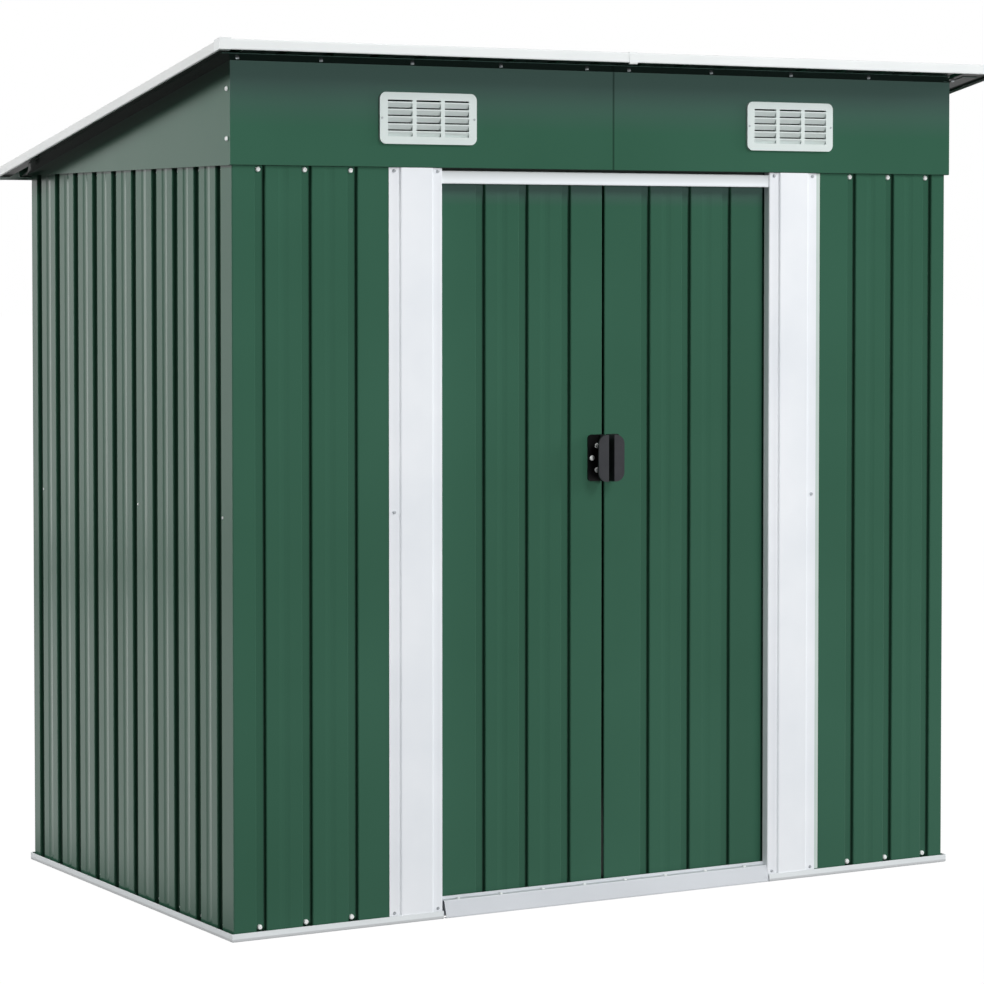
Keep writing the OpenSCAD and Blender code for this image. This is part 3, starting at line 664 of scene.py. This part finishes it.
def jamb_screws():
    """Screws of both jambs at their tops and at mid height, and smaller ones at their feet."""
    outer = JAMB_X - JAMB_INSET
    inner = DOORWAY_X + JAMB_INSET
    mesh = bmesh.new()
    for side in (-1, 1):
        for x, z in ((outer, TOP_ROW_Z), (inner, TOP_ROW_Z), (outer, MID_ROW_Z)):
            screw(mesh, Vector((side * x, JAMB_FLANGE_Y, z)), FORWARD, radius=0.0036)
    piece("jamb_screws", mesh, ZINC, "shed")
    mesh = bmesh.new()
    for side in (-1, 1):
        for x in (outer, inner):
            place = Vector((side * x, JAMB_FLANGE_Y, JAMB_FOOT_Z))
            screw(mesh, place, FORWARD, radius=0.0034, height=0.0026)
    piece("jamb_foot_screws", mesh, ZINC, "shed")


def right_jamb_strip():
    """Narrow flat grey strip along the outer edge of the right jamb."""
    mesh = bmesh.new()
    low = Vector((JAMB_X, FRONT_WALL_Y - STRIP_T, STRIP_LOW_Z))
    high = Vector((JAMB_X + STRIP_W, FRONT_WALL_Y, STRIP_TOP_Z))
    stretched = Matrix.Translation((low + high) / 2) @ Matrix.Diagonal((*(high - low), 1.0))
    bmesh.ops.create_cube(mesh, size=1.0, matrix=stretched)
    piece("right_jamb_strip", mesh, JAMB_STRIP, "shed")


def threshold_screws():
    mesh = bmesh.new()
    for i in range(THRESHOLD_COUNT):
        place = Vector((THRESHOLD_FIRST_X + i * THRESHOLD_PITCH, THRESHOLD_Y, LEDGE_Z))
        screw(mesh, place, UPWARD, radius=0.0036, height=0.0022)
    piece("threshold_screws", mesh, SCREW, "shed")


def gable_screws(name, side):
    mesh = bmesh.new()
    for z in GABLE_ROW_Z:
        screw(mesh, Vector((-LEFT_X * side, GABLE_ROW_Y, z)), (side, 0, 0), radius=0.0050)
    piece(name, mesh, SCREW, "shed")


def roof_under(y):
    """Height of the roof's underside at a depth."""
    return EAVES_Z + FRONT_RISE - (y - FRONT_Y) * math.tan(ROOF_SLOPE)


def roof_bolts():
    """Bolts through the ribs along the front flange, the beam and the rear rail."""
    mesh = bmesh.new()
    upward = Vector((0, math.sin(ROOF_SLOPE), math.cos(ROOF_SLOPE)))
    for y in (FLANGE_Y, BEAM_Y, REAR_BOLT_Y):
        for x in RIB_X:
            place = Vector((x, y, roof_under(y))) + upward * RIB_H
            screw(mesh, place, upward, radius=0.0046, height=0.0020, washer=0.0022)
    piece("roof_bolts", mesh, SCREW, "shed")


def flange_nuts():
    """Nuts of the bolts along the front flange, and one at each of its ends."""
    mesh = bmesh.new()
    downward = Vector((0, -math.sin(ROOF_SLOPE), -math.cos(ROOF_SLOPE)))
    for x in (CORNER_NUT_X, *RIB_X[1:-1], -CORNER_NUT_X):
        nut(mesh, Vector((x, FLANGE_Y, roof_under(FLANGE_Y) - FLANGE_T)), downward)
    piece("flange_nuts", mesh, ZINC, "shed")


def vent_screws():
    mesh = bmesh.new()
    for name in ("vent_left", "vent_right"):
        low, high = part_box(name)
        z = (low.z + high.z) / 2
        for x in (low.x + VENT_INSET, high.x - VENT_INSET):
            screw(mesh, Vector((x, VENT_Y, z)), FORWARD, radius=0.0024, height=0.0012)
    piece("vent_screws", mesh, ZINC, "shed")


def handle_screws(name, side, body):
    mesh = bmesh.new()
    for x, z in HANDLE_PLACES:
        screw(mesh, Vector((side * x, HANDLE_FOOT_Y, z)), FORWARD, radius=0.0060, height=0.0036)
    piece(name, mesh, SCREW, body)


front_wall_screws()
side_wall_screws("left_wall_screws", -1)
side_wall_screws("right_wall_screws", 1)
rear_wall_screws()
jamb_screws()
right_jamb_strip()
threshold_screws()
gable_screws("left_gable_screws", -1)
gable_screws("right_gable_screws", 1)
roof_bolts()
flange_nuts()
vent_screws()
handle_screws("left_handle_screws", -1, "left_door")
handle_screws("right_handle_screws", 1, "right_door")


# Floor and surroundings

FLOOR_SIZE = 60.0
FLOOR_SINK = 0.0005
FLOOR_TONE = (0.06, 0.06, 0.06, 1.0)
FLOOR_GLOW = 1.04
BESIDE_GLOW = 1.56
FLOOR_SEEN = 0.97
FLOOR_END_Y = (6.0, 7.2)
WORLD_TINT = (0.95, 0.98, 1.0, 1.0)
WORLD_STRENGTH = 0.08
WHITE_LIGHT = (1.0, 1.0, 1.0, 1.0)


def floor_glow(tree, mirrored):
    """Strength of the floor's glow, in reflections brighter beside the left wall and none far off."""
    outside = ramp(tree, along(tree, "Object", "X"), LEFT_X, LEFT_X - 0.2)
    past_front = ramp(tree, along(tree, "Object", "Y"), FRONT_Y - 0.3, FRONT_Y + 0.1)
    behind = ramp(tree, along(tree, "Object", "Y"), *FLOOR_END_Y)
    before = math_node(tree, "SUBTRACT", 1.0, behind)
    near = product(tree, before, product(tree, outside, past_front))
    gain = product(tree, near, BESIDE_GLOW)
    loss = product(tree, behind, FLOOR_GLOW)
    change = product(tree, math_node(tree, "SUBTRACT", gain, loss), mirrored)
    return math_node(tree, "ADD", change, FLOOR_GLOW)


def floor():
    mesh = bmesh.new()
    bmesh.ops.create_grid(mesh, x_segments=1, y_segments=1, size=FLOOR_SIZE)
    data = bpy.data.meshes.new("floor")
    mesh.to_mesh(data)
    mesh.free()
    made = bpy.data.objects.new("floor", data)
    made.location.z = -FLOOR_SINK
    bpy.context.scene.collection.objects.link(made)
    finish = bpy.data.materials.new("floor_white")
    finish.use_nodes = True
    tree = finish.node_tree
    tree.nodes.clear()
    out = tree.nodes.new("ShaderNodeOutputMaterial")
    shade = tree.nodes.new("ShaderNodeBsdfDiffuse")
    shade.inputs["Color"].default_value = FLOOR_TONE
    glow = tree.nodes.new("ShaderNodeEmission")
    mix = tree.nodes.new("ShaderNodeMixShader")
    path = tree.nodes.new("ShaderNodeLightPath")
    mirrored = path.outputs["Is Glossy Ray"]
    tree.links.new(floor_glow(tree, mirrored), glow.inputs["Strength"])
    seen = product(tree, path.outputs["Is Camera Ray"], FLOOR_SEEN)
    tree.links.new(math_node(tree, "MAXIMUM", seen, mirrored), mix.inputs["Fac"])
    tree.links.new(shade.outputs["BSDF"], mix.inputs[1])
    tree.links.new(glow.outputs["Emission"], mix.inputs[2])
    tree.links.new(mix.outputs["Shader"], out.inputs["Surface"])
    data.materials.append(finish)


def world():
    """Dim sky for light and reflections, and plain white to the camera."""
    made = bpy.data.worlds.new("studio")
    bpy.context.scene.world = made
    made.use_nodes = True
    tree = made.node_tree
    tree.nodes.clear()
    out = tree.nodes.new("ShaderNodeOutputWorld")
    dim = tree.nodes.new("ShaderNodeBackground")
    dim.inputs["Color"].default_value = WORLD_TINT
    dim.inputs["Strength"].default_value = WORLD_STRENGTH
    white = tree.nodes.new("ShaderNodeBackground")
    white.inputs["Color"].default_value = WHITE_LIGHT
    white.inputs["Strength"].default_value = 1.0
    mix = tree.nodes.new("ShaderNodeMixShader")
    path = tree.nodes.new("ShaderNodeLightPath")
    tree.links.new(path.outputs["Is Camera Ray"], mix.inputs["Fac"])
    tree.links.new(dim.outputs["Background"], mix.inputs[1])
    tree.links.new(white.outputs["Background"], mix.inputs[2])
    tree.links.new(mix.outputs["Shader"], out.inputs["Surface"])


def soft_light(name, place, width, height, power, mirrored=True):
    """Area light aimed at the shed. One that isn't mirrored leaves no highlights on the bends."""
    middle = Vector((0.0, 0.0, 0.9))
    data = bpy.data.lights.new(name, "AREA")
    data.shape = "RECTANGLE"
    data.size = width
    data.size_y = height
    data.energy = power
    made = bpy.data.objects.new(name, data)
    made.visible_glossy = mirrored
    made.location = place
    made.rotation_euler = (middle - Vector(place)).to_track_quat("-Z", "Y").to_euler()
    bpy.context.scene.collection.objects.link(made)


def lights():
    soft_light("key", (-0.1, -9.0, 1.6), 1.6, 2.0, 420.0, mirrored=False)
    soft_light("front", (2.0, -5.5, 5.3), 2.2, 2.2, 180.0)
    soft_light("right", (8.0, -2.5, 3.0), 2.5, 2.5, 310.0, mirrored=False)
    soft_light("left", (-6.0, -0.6, 4.6), 2.4, 2.4, 230.0)
    soft_light("left_back", (-3.2, 7.5, 2.1), 7.0, 5.0, 300.0)
    soft_light("rear", (3.0, 8.0, 4.0), 2.4, 2.4, 220.0)


def camera():
    """Long lens that looks slightly down, shifted so that upright edges stay nearly parallel."""
    tilt_down = 2.112
    turn = -29.948
    data = bpy.data.cameras.new("camera")
    data.sensor_width = 36.0
    data.lens = 122.12
    data.shift_y = -0.12
    made = bpy.data.objects.new("camera", data)
    made.location = (-3.7821, -6.5557, 1.3946)
    made.rotation_euler = (math.radians(90.0 - tilt_down), 0.0, math.radians(turn))
    bpy.context.scene.collection.objects.link(made)
    bpy.context.scene.camera = made


floor()
world()
lights()
camera()
bpy.context.scene.view_settings.view_transform = "Standard"
